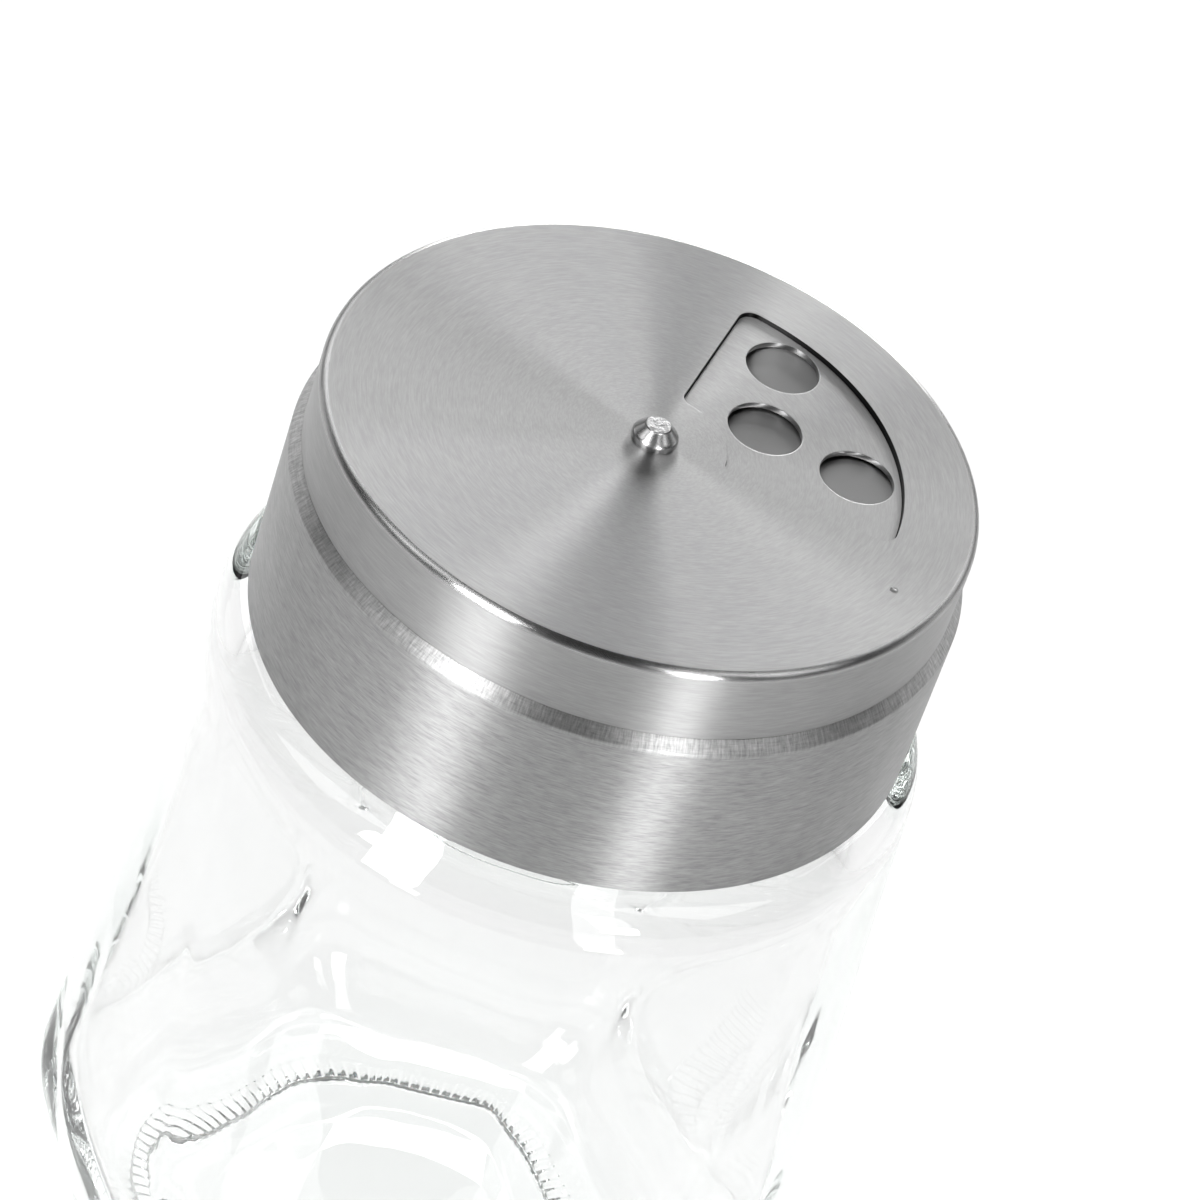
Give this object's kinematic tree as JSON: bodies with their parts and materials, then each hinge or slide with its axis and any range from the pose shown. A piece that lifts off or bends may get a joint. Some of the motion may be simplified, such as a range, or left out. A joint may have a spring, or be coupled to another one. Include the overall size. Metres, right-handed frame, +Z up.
{
  "type": "spice jar",
  "caption": "Hexagonal glass spice jar with a steel screw lid whose riveted dial turns to open or shut its sifter holes.",
  "frame": {"origin": "centre of the base, on the surface that the jar stands on", "axes": "+Z up along the axis of the jar, lid and dial; two opposite flats of the glass face +Y and -Y, two opposite corners lie on X"},
  "size_m": [0.056, 0.0494, 0.0817],
  "materials": {
    "clear_glass": "clear, faintly green in its thick parts",
    "soft_seal": "matt, off-white",
    "white_plastic": "satin, white",
    "brushed_steel": "brushed around the axis",
    "plain_steel": "plain rolled",
    "polished_steel": "polished by the rivet tool, with a rough flat on top",
    "spun_steel": "spun in fine concentric lines"
  },
  "bodies": {
    "jar": {"glass_jar": "clear_glass"},
    "seal": {"seal_ring": "soft_seal"},
    "lid": {"threaded_insert": "white_plastic", "skirt_shell": "brushed_steel", "spring_washer": "plain_steel", "centre_rivet": "polished_steel"},
    "dial": {"dial_cap": "spun_steel"}
  },
  "joints": [
    {"name": "cap_lift", "type": "slide", "parent": "jar", "child": "seal", "axis": [0, 0, 1], "range_m": [0, 0.0253]},
    {"name": "cap_turn", "type": "hinge", "parent": "seal", "child": "lid", "pos_m": [0, 0, 0.0768], "axis": [0, 0, 1], "range_deg": [0, 2160]},
    {"name": "dial_turn", "type": "hinge", "parent": "lid", "child": "dial", "pos_m": [0, 0, 0.0803], "axis": [0, 0, 1], "range_deg": [0, 90]}
  ],
  "couplings": [
    {"joint": "cap_lift", "follows": "cap_turn", "m_per_rad": 0.00066845}
  ]
}
